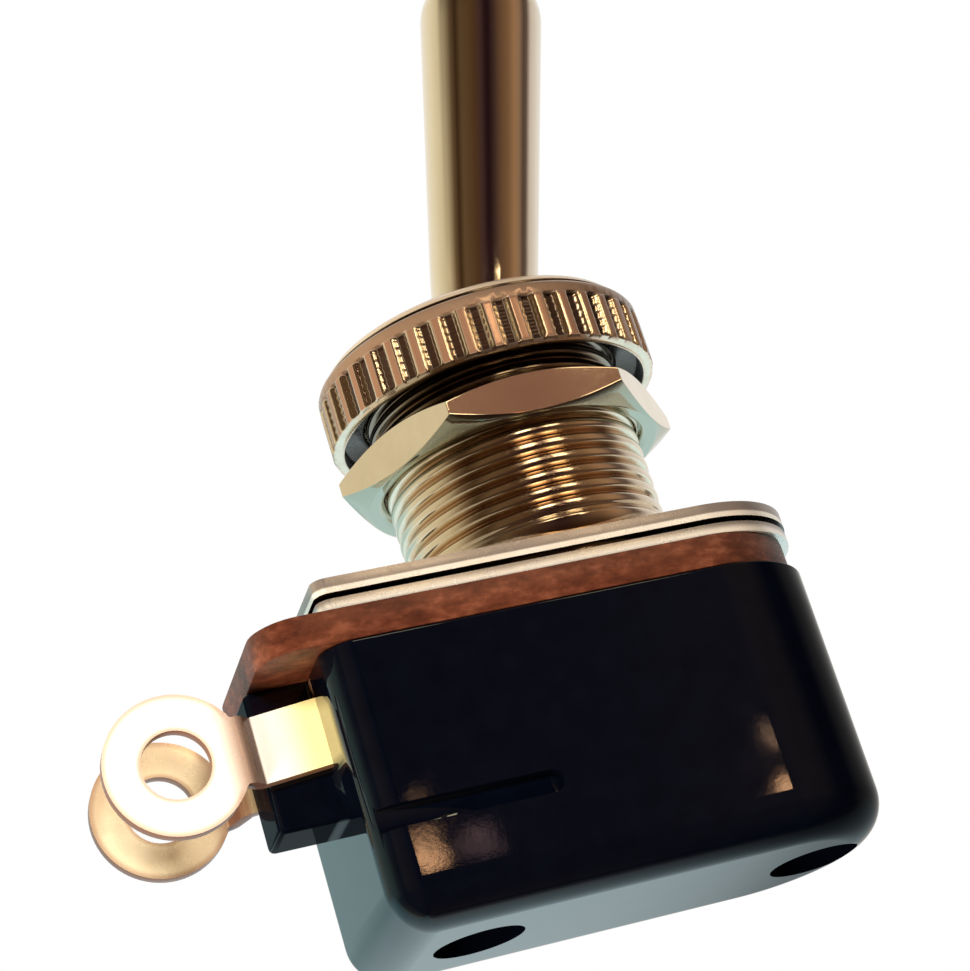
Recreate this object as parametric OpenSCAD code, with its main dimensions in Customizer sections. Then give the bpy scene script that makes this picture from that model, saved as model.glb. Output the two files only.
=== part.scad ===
// Panel toggle switch, single pole, two ring lugs, bat lever, 12 mm threaded bushing.
// Frame: origin on the bushing axis in the upper plate's top face, +Z up the bushing,
// +X along the case away from the lugs, +Y to the rear lug's side. Millimetres.

/* [Case] */
// left end of the moulded case, along X
case_x0 = -12.57; // [-12.8:0.01:-12.4]
// right end of the moulded case, along X
case_x1 = 11.42; // [11.2:0.01:11.6]
// half of the case's width
case_hw = 5.86; // [5.7:0.01:6]
// height of the case below the board
case_h = 12.5; // [12:0.1:14]
// radius of the two vertical corners at the left end
case_r_vert = 1.4; // [0.8:0.1:2]
// radius of the bottom edge
case_r_bot = 2.0; // [1.2:0.1:2.4]
// width of the slot-like groove in the front face
groove_w = 1.0; // [0.6:0.1:1.4]
// depth of that groove
groove_d = 0.5; // [0.3:0.1:0.8]
// length of the barrier between the lugs
barrier_l = 2.86; // [2:0.01:3.2]
// thickness of the barrier
barrier_t = 3.3; // [3:0.01:3.35]
// height of the barrier below the board
barrier_h = 6.4; // [5:0.1:8]

/* [Sandwich] */
// thickness of the upper metal plate
plate_a_t = 0.7; // [0.6:0.05:0.8]
// gap between the two metal plates
plate_gap = 0.25; // [0.2:0.05:0.3]
// thickness of the lower metal plate
plate_b_t = 0.5; // [0.4:0.05:0.6]
// thickness of the fibre board
board_t = 1.5; // [1.4:0.05:1.6]
// half of the plates' width
plate_hw = 5.75; // [5.6:0.01:5.8]
// left end of the metal plates
plate_x0 = -12.2; // [-12.4:0.05:-12]
// left end of the fibre board
board_x0 = -15.2; // [-15.4:0.05:-14.8]
// right end of the fibre board
board_x1 = 11.0; // [10.8:0.05:11.1]

/* [Bushing] */
// major diameter of the thread
thread_d = 12; // [11.9:0.01:12.05]
// height of the bushing above the upper plate
bush_h = 12.6; // [12.2:0.1:13]
// bore of the bushing below the ball seat
bush_bore_d = 9.5; // [9.4:0.05:9.6]
// height of the lever's pivot above the upper plate
pivot_z = 9.9; // [9.7:0.05:10]

/* [Nuts] */
// across flats of the hexagon nut
hex_af = 14; // [13.8:0.1:14.4]
// thickness of the hexagon nut
hex_t = 2.0; // [1.6:0.1:2.2]
// underside of the hexagon nut
hex_z = 5.3; // [4:0.1:5.5]
// turn of the hexagon nut about the bushing
hex_turn = -3.3; // [-30:0.1:30]
// outside diameter over the knurl
knurl_d = 15.6; // [15.2:0.1:16.2]
// underside of the knurled nut
knurl_z = 8.3; // [8.2:0.1:8.6]

/* [Lever] */
// diameter of the ball
ball_d = 7.7; // [7.6:0.05:7.75]
// lean of the lever at rest
lean = 16.15; // [14:0.05:16.5]
// bat diameter near the bushing
bat_d0 = 5.18; // [5:0.01:5.2]
// bat diameter where the round tip starts
bat_d1 = 6.08; // [5.6:0.01:6.4]
// distance from the pivot to the start of the round tip
bat_s1 = 20.46; // [18:0.01:24]
// diameter of the tail below the ball
tail_d = 2.8; // [2.6:0.05:2.85]
// diameter of the contact roller's discs
roller_d = 3.0; // [2.8:0.05:3.1]
// distance from the lever's pivot to the roller's axis
roller_s = 16.8; // [16.6:0.05:16.9]

/* [Lugs] */
// thickness of the lug strip
strip_t = 0.6; // [0.5:0.05:0.65]
// outer diameter of the ring
ring_d = 6.18; // [5.6:0.01:6.6]
// hole in the ring
ring_hole_d = 3.0; // [2.6:0.05:3.4]
// distance from the bushing axis to the ring's centre
ring_x = 19.27; // [19:0.01:20]

/* [Hidden] */
eps = 0.01;
za = -plate_a_t;                       // underside of the upper plate
zb1 = za - plate_gap;                  // top of the lower plate
zb0 = zb1 - plate_b_t;                 // top of the board
zc = zb0 - board_t;                    // top of the case
zf = zc - case_h;                      // bottom of the case
plate_r = plate_hw;
plate_x1 = 11.45;
riv_x = 7.95;
riv_r = 1.0;
cb_r = 2.05;
cb_z = zf + 5.0;
thread_r = thread_d / 2;
bore_r = bush_bore_d / 2;
ball_r = ball_d / 2;
seat_r = ball_r + 0.10;
rol_r = roller_d / 2;
track_r = roller_s + rol_r + 0.10;
strip_y0 = barrier_t / 2 + 0.05;
strip_y1 = strip_y0 + strip_t;
ring_y1 = 3.36;
ring_y0 = ring_y1 - strip_t;
ring_z = -5.96;
pin_r = 0.75;
bolt_s = 10.8;                         // end of the lever's tail

// lever frame: local +Z runs from the pivot to the lever's tip
module lever_frame() {
  translate([0, 0, pivot_z]) rotate([0, lean, 0]) children();
}

// slab whose right end is a half circle and whose left corners have radius rl
module slab2d(x0, x1, hw, rl) {
  rc = hw;
  union() {
    translate([x0 + rl, -hw]) square([x1 - rc - x0 - rl, 2 * hw]);
    translate([x0, -hw + rl]) square([rl + eps, 2 * hw - 2 * rl]);
    for (s = [-1, 1]) translate([x0 + rl, s * (hw - rl)]) circle(r = rl, $fn = 48);
    translate([x1 - rc, 0]) circle(r = rc, $fn = 96);
  }
}

// profile with its two lower corners rounded, for the case's cross sections
module tub2d(w0, w1, z0, z1, r) {
  union() {
    translate([w0, z0 + r]) square([w1 - w0, z1 - z0 - r]);
    translate([w0 + r, z0]) square([w1 - w0 - 2 * r, r + eps]);
    translate([w0 + r, z0 + r]) circle(r = r, $fn = 48);
    translate([w1 - r, z0 + r]) circle(r = r, $fn = 48);
  }
}

module case_outer() {
  rx = case_x1 - case_hw;
  union() {
    // long part, edges rounded by crossing three profiles
    intersection() {
      translate([case_x0, 0, 0]) rotate([90, 0, 90])
        linear_extrude(rx - case_x0) tub2d(-case_hw, case_hw, zf, zc, case_r_bot);
      translate([0, case_hw, 0]) rotate([90, 0, 0])
        linear_extrude(2 * case_hw) tub2d(case_x0, rx + 9, zf, zc, case_r_bot);
      translate([0, 0, zf]) linear_extrude(case_h)
        slab2d(case_x0, case_x1 + 4, case_hw, case_r_vert);
    }
    // round right end
    translate([rx, 0, 0]) rotate([0, 0, -90]) rotate_extrude(angle = 180, $fn = 96)
      union() {
        translate([0, zf + case_r_bot]) square([case_hw, case_h - case_r_bot]);
        translate([0, zf]) square([case_hw - case_r_bot, case_h]);
        translate([case_hw - case_r_bot, zf + case_r_bot])
          intersection() {
            circle(r = case_r_bot, $fn = 48);
            translate([0, -case_r_bot]) square([case_r_bot, 2 * case_r_bot]);
          }
      }
    // barrier between the lugs, lower end corner eased
    translate([0, barrier_t / 2, 0]) rotate([90, 0, 0]) linear_extrude(barrier_t)
      union() {
        translate([case_x0 - barrier_l, zc - barrier_h + 0.35])
          square([barrier_l + 1, barrier_h - 0.35]);
        translate([case_x0 - barrier_l + 0.35, zc - barrier_h])
          square([barrier_l + 0.65, 0.36]);
        translate([case_x0 - barrier_l + 0.35, zc - barrier_h + 0.35])
          circle(r = 0.35, $fn = 24);
      }
  }
}

// moulded case: walls, roller track, lug slots, rivet holes with counterbores
module case() color([0.05, 0.05, 0.06]) difference() {
  case_outer();
  // central well, its floor an arc about the lever's pivot
  intersection() {
    translate([-6.3, -4.2, zf + 4]) cube([12.6, 8.4, case_h]);
    translate([0, 4.2, pivot_z]) rotate([90, 0, 0]) cylinder(r = track_r, h = 8.4, $fn = 180);
  }
  for (s = [-1, 1]) {
    // slots for the strips, open at the top
    translate([case_x0 - 1, s > 0 ? strip_y0 - 0.05 : -strip_y1 - 0.05, zc - 4.2])
      cube([-9.2 - case_x0 + 1, strip_t + 0.1, 4.3]);
    // pockets beside the left rivet for the folded contact tabs
    translate([-9.3, s > 0 ? strip_y0 - 0.05 : -4.2, zc - 4.6])
      cube([3.1, 4.25 - strip_y0, 5]);
    // seat under each tab, square to the lever's tail
    lever_frame() translate([-4.35, s > 0 ? strip_y0 - 0.09 : -4.16, -roller_s - rol_r - 1.15])
      cube([5.9, 4.25 - strip_y0, 1.2]);
    // rivet holes and counterbores
    translate([s * riv_x, 0, zf - 1]) cylinder(r = cb_r, h = cb_z - zf + 1, $fn = 48);
    translate([s * riv_x, 0, zf]) cylinder(r = riv_r + 0.05, h = case_h + 1, $fn = 48);
  }
  // groove in the front face, open at the left end
  translate([case_x0 - 1, -case_hw - 1, zc - 8.35])
    cube([-4.6 - case_x0 + 1, 1 + groove_d, groove_w]);
  translate([-4.6, -case_hw + groove_d, zc - 8.35 + groove_w / 2]) rotate([90, 0, 0])
    cylinder(r = groove_w / 2, h = 1 + groove_d, $fn = 32);
}

module fibre_board() color([0.45, 0.2, 0.1]) difference() {
  translate([0, 0, zc]) linear_extrude(board_t) slab2d(board_x0, board_x1, case_hw, 2.0);
  // slot for the lever's plunger
  translate([-3.1, -2, zc - 1]) cube([6.2, 4, board_t + 2]);
  for (s = [-1, 1]) {
    translate([s * 3.1, 0, zc - 1]) cylinder(r = 2, h = board_t + 2, $fn = 48);
    translate([s * riv_x, 0, zc - 1]) cylinder(r = riv_r + 0.05, h = board_t + 2, $fn = 48);
  }
}

module lower_plate() color([0.72, 0.68, 0.6]) difference() {
  translate([0, 0, zb0]) linear_extrude(plate_b_t) slab2d(plate_x0, plate_x1 - 0.05, plate_hw, 0.6);
  translate([0, 0, zb0 - 1]) cylinder(r = bore_r + 0.1, h = plate_b_t + 2, $fn = 96);
  for (s = [-1, 1])
    translate([s * riv_x, 0, zb0 - 1]) cylinder(r = riv_r + 0.05, h = plate_b_t + 2, $fn = 48);
}

module upper_plate() color([0.75, 0.72, 0.64]) difference() {
  translate([0, 0, za]) linear_extrude(plate_a_t) slab2d(plate_x0, plate_x1, plate_hw, 0.6);
  translate([0, 0, za - 1]) cylinder(r = 5.23, h = plate_a_t + 2, $fn = 96);
  for (s = [-1, 1]) translate([s * riv_x, 0, 0]) {
    translate([0, 0, za - 1]) cylinder(r = riv_r + 0.05, h = plate_a_t + 2, $fn = 48);
    translate([0, 0, -0.5]) cylinder(r1 = riv_r + 0.05, r2 = riv_r + 0.55, h = 0.5 + eps, $fn = 48);
  }
}

// bushing: rolled foot under the upper plate, plain neck, threaded length, ball seat
module bushing() color([0.75, 0.72, 0.64]) difference() {
  rotate_extrude($fn = 96) union() {
    translate([0, zb1]) square([5.5, plate_gap]);
    translate([0, za - eps]) square([5.2, plate_a_t + 2 * eps]);
    square([5.62, 1]);
    polygon([[0, 0.8], [5.62, 0.8], [thread_r, 1.18], [thread_r, bush_h - 0.4],
             [thread_r - 0.4, bush_h], [0, bush_h]]);
  }
  // bore, narrowing to the ball seat
  translate([0, 0, zb1 - 1]) cylinder(r = bore_r, h = 1 + 7.2 - zb1, $fn = 96);
  translate([0, 0, 7.2 - eps]) cylinder(r1 = bore_r, r2 = seat_r, h = bore_r - seat_r, $fn = 96);
  translate([0, 0, 7.2]) cylinder(r = seat_r, h = pivot_z - 7.2, $fn = 96);
  translate([0, 0, pivot_z]) sphere(r = seat_r, $fn = 96);
  translate([0, 0, pivot_z + 1]) cylinder(r1 = 3.1, r2 = 3.95, h = bush_h - pivot_z - 1 + eps, $fn = 96);
  // cross hole for the pivot pin
  translate([0, 8, pivot_z]) rotate([90, 0, 0]) cylinder(r = pin_r + 0.02, h = 16, $fn = 48);
}

module hex_nut() color([0.72, 0.68, 0.6]) rotate([0, 0, hex_turn]) difference() {
  cr = hex_af / sqrt(3);
  fl = hex_af / 2 - 0.1;
  k = tan(30);
  intersection() {
    translate([0, 0, hex_z]) cylinder(r = cr, h = hex_t, $fn = 6);
    rotate_extrude($fn = 96) polygon([[0, hex_z], [fl, hex_z], [fl + 2, hex_z + 2 * k],
      [fl + 2, hex_z + hex_t - 2 * k], [fl, hex_z + hex_t], [0, hex_z + hex_t]]);
  }
  translate([0, 0, hex_z - 1]) cylinder(r = thread_r + 0.06, h = hex_t + 2, $fn = 96);
}

module knurled_nut() color([0.75, 0.7, 0.62]) difference() {
  R = knurl_d / 2;
  rotate_extrude($fn = 96) polygon([[0, knurl_z], [R - 0.3, knurl_z], [R, knurl_z + 0.2],
    [R, knurl_z + 2.6], [R - 0.3, knurl_z + 2.75], [R - 0.5, knurl_z + 3.0], [R - 0.75, knurl_z + 3.3],
    [R - 1.05, knurl_z + 3.6], [R - 1.35, knurl_z + 3.75], [0, knurl_z + 3.75]]);
  translate([0, 0, knurl_z - 1]) cylinder(r = thread_r + 0.06, h = 6, $fn = 96);
}

// lever: bat, ball and hollow tail in one turned piece
module bat_lever() color([0.78, 0.74, 0.66]) lever_frame() difference() {
  union() {
    sphere(r = ball_r, $fn = 96);
    rotate_extrude($fn = 96) polygon([[0, 0], [2.45, 0], [2.45, 3.6], [bat_d0 / 2 - 0.03, 4.9],
      [bat_d0 / 2, 5.83], [bat_d1 / 2, bat_s1], [0, bat_s1]]);
    translate([0, 0, bat_s1]) sphere(r = bat_d1 / 2, $fn = 96);
    translate([0, 0, -bolt_s]) cylinder(r = tail_d / 2, h = bolt_s, $fn = 48);
  }
  // spring bore
  translate([0, 0, -bolt_s - 1]) cylinder(r = 1.0, h = bolt_s + 1 - 4.4, $fn = 48);
  // cross bore for the pivot pin
  rotate([90, 0, 0]) translate([0, 0, -8]) cylinder(r = pin_r + 0.05, h = 16, $fn = 48);
}

module pivot_pin() color([0.7, 0.7, 0.7])
  translate([0, 5.35, pivot_z]) rotate([90, 0, 0]) cylinder(r = pin_r, h = 10.7, $fn = 48);

// spring: closed turns of round wire at the coil's pitch, each linked to the next on alternate sides
module lever_spring() color([0.7, 0.7, 0.72]) lever_frame() {
  wr = 0.18; cr = 0.73; n = 8; top = -4.4 - wr - 0.06; bot = -9.4 + wr + 0.06;
  dz = (top - bot) / (n - 1);
  for (i = [0 : n - 1])
    translate([0, 0, bot + i * dz]) rotate_extrude($fn = 72) translate([cr, 0]) circle(r = wr, $fn = 48);
  for (i = [0 : n - 2])
    translate([i % 2 == 0 ? cr : -cr, 0, bot + i * dz]) cylinder(r = 0.13, h = dz, $fn = 24);
}

// plunger: stem in the lever's tail, saddle over the roller's waist
module plunger() color([0.2, 0.12, 0.08]) lever_frame() difference() {
  union() {
    translate([0, 0, -15.2]) cylinder(r = 0.95, h = 5.8, $fn = 48);
    translate([-1.15, -1.2, -roller_s + 0.0]) cube([2.3, 2.4, 2.3]);
  }
  translate([0, 2, -roller_s]) rotate([90, 0, 0]) cylinder(r = 0.80, h = 4, $fn = 48);
}

// roller: two discs joined by a thin waist
module contact_roller() color([0.8, 0.65, 0.3]) lever_frame()
  translate([0, 0, -roller_s]) rotate([90, 0, 0]) rotate_extrude($fn = 64)
    polygon([[0, -3.8], [rol_r - 0.15, -3.8], [rol_r, -3.65], [rol_r, -1.6], [rol_r - 0.15, -1.45],
             [0.75, -1.3], [0.75, 1.3], [rol_r - 0.15, 1.45], [rol_r, 1.6], [rol_r, 3.65],
             [rol_r - 0.15, 3.8], [0, 3.8]]);

// one lug: ring, jog, strip into the case and a tab folded out under the roller
module lug() difference() {
  union() {
    // ring
    translate([-ring_x, -ring_y0, ring_z]) rotate([90, 0, 0])
      cylinder(r = ring_d / 2, h = strip_t, $fn = 72);
    // neck from the ring to the jog
    translate([0, -ring_y0, 0]) rotate([90, 0, 0]) linear_extrude(strip_t)
      polygon([[-ring_x, -4.4], [-16.3, -4.33], [-16.3, -7.38], [-ring_x, -7.5]]);
    // jog
    translate([0, 0, 0]) intersection() {
      translate([0, 0, -9]) linear_extrude(8) polygon([[-16.55, -ring_y0], [-16.1, -ring_y0],
        [-15.55, -strip_y0], [-15.2, -strip_y0], [-15.2, -strip_y1], [-15.8, -strip_y1],
        [-16.35, -ring_y1], [-16.55, -ring_y1]]);
      translate([0, 0, 0]) rotate([90, 0, 0]) linear_extrude(6)
        polygon([[-17, -4.36], [-15, -4.24], [-15, -7.26], [-17, -7.42]]);
    }
    // strip into the case, with a shoulder in the wall slot
    translate([0, -strip_y0, 0]) rotate([90, 0, 0]) linear_extrude(strip_t)
      polygon([[-15.4, -4.27], [-12.5, -4.0], [-12.5, zc - 0.1], [-11.0, zc - 0.1], [-11.0, -3.85],
        [-6.6, -3.6], [-6.6, -8.05], [-9.1, -7.32], [-9.1, -6.9], [-12.5, -7.03], [-15.4, -7.28]]);
    // tab folded out, square to the lever's tail
    lever_frame() translate([-4.2, -4.1, -roller_s - rol_r - 1.06])
      cube([5.6, 4.1 - strip_y0, 0.6]);
  }
  // ring hole
  translate([-ring_x, 0, ring_z]) rotate([90, 0, 0]) cylinder(r = ring_hole_d / 2, h = 8, $fn = 64);
  // hole for the contact's stem
  lever_frame() translate([0, -3.05, -roller_s - rol_r - 2]) cylinder(r = 0.42, h = 3, $fn = 32);
}

module front_terminal() color([0.85, 0.75, 0.5]) lug();
module rear_terminal() color([0.85, 0.75, 0.5]) mirror([0, 1, 0]) lug();

module button() lever_frame() translate([0, -3.05, -roller_s - rol_r]) union() {
  translate([0, 0, -0.46]) cylinder(r = 0.85, h = 0.38, $fn = 48);
  translate([0, 0, -1.06]) cylinder(r = 0.4, h = 0.7, $fn = 32);
}
module front_contact() color([0.9, 0.9, 0.88]) button();
module rear_contact() color([0.9, 0.9, 0.88]) mirror([0, 1, 0]) button();

module rivet(x) translate([x, 0, 0]) union() {
  translate([0, 0, cb_z - 0.9]) cylinder(r = 1.8, h = 0.9, $fn = 48);
  translate([0, 0, cb_z - 0.1]) cylinder(r = riv_r, h = -cb_z + 0.1, $fn = 48);
  translate([0, 0, -0.5]) cylinder(r1 = riv_r, r2 = riv_r + 0.5, h = 0.5, $fn = 48);
}
module left_rivet() color([0.7, 0.65, 0.5]) rivet(-riv_x);
module right_rivet() color([0.7, 0.65, 0.5]) rivet(riv_x);

case();
fibre_board();
lower_plate();
upper_plate();
bushing();
hex_nut();
knurled_nut();
bat_lever();
pivot_pin();
lever_spring();
plunger();
contact_roller();
front_terminal();
rear_terminal();
front_contact();
rear_contact();
left_rivet();
right_rivet();
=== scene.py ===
import bpy
import bmesh
import math
import numpy as np
from mathutils import Matrix, Vector


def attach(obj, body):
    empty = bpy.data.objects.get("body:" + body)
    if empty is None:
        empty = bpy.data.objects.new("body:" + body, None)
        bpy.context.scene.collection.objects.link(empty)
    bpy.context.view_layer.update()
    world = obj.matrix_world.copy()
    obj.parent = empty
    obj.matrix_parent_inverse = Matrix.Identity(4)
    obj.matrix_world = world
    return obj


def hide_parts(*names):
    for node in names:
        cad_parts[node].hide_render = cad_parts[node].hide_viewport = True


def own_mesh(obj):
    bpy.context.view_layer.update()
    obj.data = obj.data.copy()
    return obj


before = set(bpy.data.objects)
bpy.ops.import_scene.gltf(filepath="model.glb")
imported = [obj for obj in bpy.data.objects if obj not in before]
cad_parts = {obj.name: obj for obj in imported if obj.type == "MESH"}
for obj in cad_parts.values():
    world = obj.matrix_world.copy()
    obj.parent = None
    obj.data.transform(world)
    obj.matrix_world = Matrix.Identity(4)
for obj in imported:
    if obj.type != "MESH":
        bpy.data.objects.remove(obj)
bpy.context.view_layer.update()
MM = 0.001
PI = math.pi

# the CAD's own sizes, in millimetres
ZA, ZB1, ZB0, ZC, ZF = -0.70, -0.95, -1.45, -2.95, -15.45
CX0, CX1, CHW = -12.57, 11.42, 5.86
PIV, LEAN = 9.9, math.radians(16.15)
ROLL_S, ROLL_R = 16.8, 1.5


# ------------------------------------------------------------------ mesh helpers
def make(name, verts, faces, smooth=True, sharp=38):
    me = bpy.data.meshes.new(name)
    me.from_pydata([(x * MM, y * MM, z * MM) for x, y, z in verts], [], faces)
    me.validate()
    me.update()
    o = bpy.data.objects.new(name, me)
    bpy.context.scene.collection.objects.link(o)
    shade(o, smooth, sharp)
    return o


def shade(o, smooth=True, sharp=38):
    o.data.polygons.foreach_set("use_smooth", [smooth] * len(o.data.polygons))
    if smooth and sharp:
        o.data.set_sharp_from_angle(angle=math.radians(sharp))
    o.data.update()


def bake(o, sharp=38):
    dg = bpy.context.evaluated_depsgraph_get()
    me = bpy.data.meshes.new_from_object(o.evaluated_get(dg))
    o.modifiers.clear()
    old = o.data
    o.data = me
    bpy.data.meshes.remove(old)
    shade(o, True, sharp)
    return o


def tidy(o, dist=1e-6):
    bm = bmesh.new()
    bm.from_mesh(o.data)
    bmesh.ops.remove_doubles(bm, verts=bm.verts, dist=dist)
    bmesh.ops.dissolve_degenerate(bm, dist=1e-7, edges=bm.edges)
    bmesh.ops.recalc_face_normals(bm, faces=bm.faces)
    bm.to_mesh(o.data)
    bm.free()
    return o


def cut(o, *cutters, op="DIFFERENCE"):
    for c in cutters:
        m = o.modifiers.new("b", "BOOLEAN")
        m.operation = op
        m.solver = "EXACT"
        m.object = c
    bpy.context.view_layer.update()
    bake(o)
    for c in cutters:
        bpy.data.objects.remove(c)
    return o


def bevel(o, width, segments=3, angle=40, sharp=38):
    m = o.modifiers.new("v", "BEVEL")
    m.width = width * MM
    m.segments = segments
    m.limit_method = "ANGLE"
    m.angle_limit = math.radians(angle)
    m.harden_normals = False
    m.use_clamp_overlap = True
    bpy.context.view_layer.update()
    bake(o, sharp)
    return o


def weigh(o, ways=((0, -1, 0), (0, 1, 0), (0, 0, -1), (-1, 0, 0))):
    """a flat outer face keeps its own normal right up to the rounded edges beside it"""
    me = o.data
    ways = [Vector(q) for q in ways]
    flat = {}
    for p in me.polygons:
        for i, q in enumerate(ways):
            if p.normal.dot(q) > 0.99999:
                for v in p.vertices:
                    flat.setdefault(v, set()).add(i)
    out = []
    for lp_, cn in zip(me.loops, me.corner_normals):
        n = Vector(cn.vector)
        best = max(((n.dot(ways[i]), i) for i in flat.get(lp_.vertex_index, ())), default=(0, 0))
        out.append(ways[best[1]] if best[0] > 0.90 else n)
    me.normals_split_custom_set(out)
    return o


def join(name, objs):
    bpy.ops.object.select_all(action="DESELECT")
    for o in objs:
        o.select_set(True)
    bpy.context.view_layer.objects.active = objs[0]
    bpy.ops.object.join()
    o = bpy.context.view_layer.objects.active
    o.name = name
    o.data.name = name
    return o


def prism(name, outline, axis, a, b):
    """closed solid: outline extruded from a to b. axis 'z': outline is (x, y); axis 'y': outline is (x, z)"""
    n = len(outline)
    if axis == "z":
        lo = [(x, y, a) for x, y in outline]
        hi = [(x, y, b) for x, y in outline]
    else:
        lo = [(x, a, z) for x, z in outline]
        hi = [(x, b, z) for x, z in outline]
    faces = [tuple(range(n)), tuple(range(n, 2 * n))]
    faces += [(i, (i + 1) % n, n + (i + 1) % n, n + i) for i in range(n)]
    o = make(name, lo + hi, faces, True)
    return tidy(o)


def cyl(name, r, x, y, z0, z1, n=64, r1=None):
    r1 = r if r1 is None else r1
    v = [(x + r * math.cos(2 * PI * i / n), y + r * math.sin(2 * PI * i / n), z0) for i in range(n)]
    v += [(x + r1 * math.cos(2 * PI * i / n), y + r1 * math.sin(2 * PI * i / n), z1) for i in range(n)]
    f = [tuple(range(n)), tuple(range(n, 2 * n))] + [(i, (i + 1) % n, n + (i + 1) % n, n + i) for i in range(n)]
    return tidy(make(name, v, f))


def block(name, x0, x1, y0, y1, z0, z1, lever=False):
    v = [(x, y, z) for z in (z0, z1) for y in (y0, y1) for x in (x0, x1)]
    if lever:
        v = [to_lever(p) for p in v]
    f = [(0, 2, 3, 1), (4, 5, 7, 6), (0, 1, 5, 4), (2, 6, 7, 3), (0, 4, 6, 2), (1, 3, 7, 5)]
    return make(name, v, f, False)


def to_lever(p):
    c, s = math.cos(LEAN), math.sin(LEAN)
    return (p[0] * c + p[2] * s, p[1], PIV - p[0] * s + p[2] * c)


def lathe(name, prof, n=128, closed=True, sharp=38, rfun=None, lever=False):
    """prof: (r, z) points; closed joins the last to the first"""
    v = []
    for j in range(n):
        t = 2 * PI * j / n
        for i, (r, z) in enumerate(prof):
            rr = rfun(i, r, z, t) if rfun else r
            p = (rr * math.cos(t), rr * math.sin(t), z)
            v.append(to_lever(p) if lever else p)
    m = len(prof)
    f = []
    for j in range(n):
        k = (j + 1) % n
        for i in range(m if closed else m - 1):
            a, b = i, (i + 1) % m
            f.append((j * m + a, k * m + a, k * m + b, j * m + b))
    o = make(name, v, f, True, sharp)
    tidy(o)
    shade(o, True, sharp)
    return o


def arc(cx, cz, r, a0, a1, n):
    return [(cx + r * math.cos(math.radians(a0 + (a1 - a0) * i / n)),
             cz + r * math.sin(math.radians(a0 + (a1 - a0) * i / n))) for i in range(n + 1)]


def slab(x0, x1, hw, rl, ne=40, nc=10):
    """plan outline: right end a half circle, left corners of radius rl"""
    cx = x1 - hw
    p = arc(cx, 0, hw, -90, 90, ne)
    p += arc(x0 + rl, hw - rl, rl, 90, 180, nc)
    p += arc(x0 + rl, -hw + rl, rl, 180, 270, nc)
    return p


# ------------------------------------------------------------------ material helpers
class Mat:
    def __init__(self, name):
        self.m = bpy.data.materials.new(name)
        self.m.use_nodes = True
        self.t = self.m.node_tree
        self.t.nodes.clear()
        self.out = self.add("ShaderNodeOutputMaterial")
        self.b = self.add("ShaderNodeBsdfPrincipled")
        self.link(self.b, "BSDF", self.out, "Surface")
        self.co = self.add("ShaderNodeTexCoord")

    def add(self, kind, **kw):
        n = self.t.nodes.new(kind)
        for k, v in kw.items():
            setattr(n, k, v)
        return n

    def link(self, a, ao, b, bi):
        self.t.links.new(a.outputs[ao], b.inputs[bi])

    def noise(self, scale, detail=3.0, rough=0.55, stretch=None, coords="Object", dist=0.0):
        n = self.add("ShaderNodeTexNoise")
        n.inputs["Scale"].default_value = scale
        n.inputs["Detail"].default_value = detail
        n.inputs["Roughness"].default_value = rough
        n.inputs["Distortion"].default_value = dist
        if stretch:
            mp = self.add("ShaderNodeMapping")
            mp.inputs["Scale"].default_value = stretch
            self.link(self.co, coords, mp, "Vector")
            self.link(mp, "Vector", n, "Vector")
        else:
            self.link(self.co, coords, n, "Vector")
        return n

    def ramp(self, src, out, stops, interp="LINEAR"):
        r = self.add("ShaderNodeValToRGB")
        r.color_ramp.interpolation = interp
        e = r.color_ramp.elements
        while len(e) < len(stops):
            e.new(0.5)
        for k, (p, c) in zip(e, stops):
            k.position = p
            k.color = (*c, 1.0) if len(c) == 3 else c
        self.link(src, out, r, "Fac")
        return r

    def spread(self, src, out, lo, hi, a=0.3, b=0.7):
        r = self.add("ShaderNodeMapRange")
        r.inputs["From Min"].default_value = a
        r.inputs["From Max"].default_value = b
        r.inputs["To Min"].default_value = lo
        r.inputs["To Max"].default_value = hi
        self.link(src, out, r, "Value")
        return r

    def math(self, op, a, b=None, c=None):
        n = self.add("ShaderNodeMath", operation=op)
        for i, x in enumerate((a, b, c)):
            if x is None:
                continue
            if isinstance(x, (int, float)):
                n.inputs[i].default_value = x
            else:
                self.t.links.new(x, n.inputs[i])
        return n.outputs[0]

    def step(self, x, a, b, lo=0.0, hi=1.0):
        """smooth step from lo at a to hi at b"""
        n = self.add("ShaderNodeMapRange", interpolation_type="SMOOTHSTEP")
        for k, v in (("From Min", a), ("From Max", b), ("To Min", lo), ("To Max", hi)):
            n.inputs[k].default_value = v
        self.t.links.new(x, n.inputs["Value"])
        return n.outputs["Result"]

    def mix(self, fac, a, b, kind="MIX"):
        n = self.add("ShaderNodeMix", data_type="RGBA", blend_type=kind)
        if isinstance(fac, (int, float)):
            n.inputs[0].default_value = fac
        else:
            self.t.links.new(fac, n.inputs[0])
        for i, x in ((6, a), (7, b)):
            if isinstance(x, tuple):
                n.inputs[i].default_value = (*x, 1.0)
            else:
                self.t.links.new(x, n.inputs[i])
        return n.outputs[2]

    def xyz(self, coords="Object"):
        n = self.add("ShaderNodeSeparateXYZ")
        self.link(self.co, coords, n, "Vector")
        return n.outputs[0], n.outputs[1], n.outputs[2]

    def bump(self, src, out, dist, strength=1.0, under=None):
        n = self.add("ShaderNodeBump")
        n.inputs["Distance"].default_value = dist
        n.inputs["Strength"].default_value = strength
        self.link(src, out, n, "Height")
        if under is not None:
            self.link(under, "Normal", n, "Normal")
        return n


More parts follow.
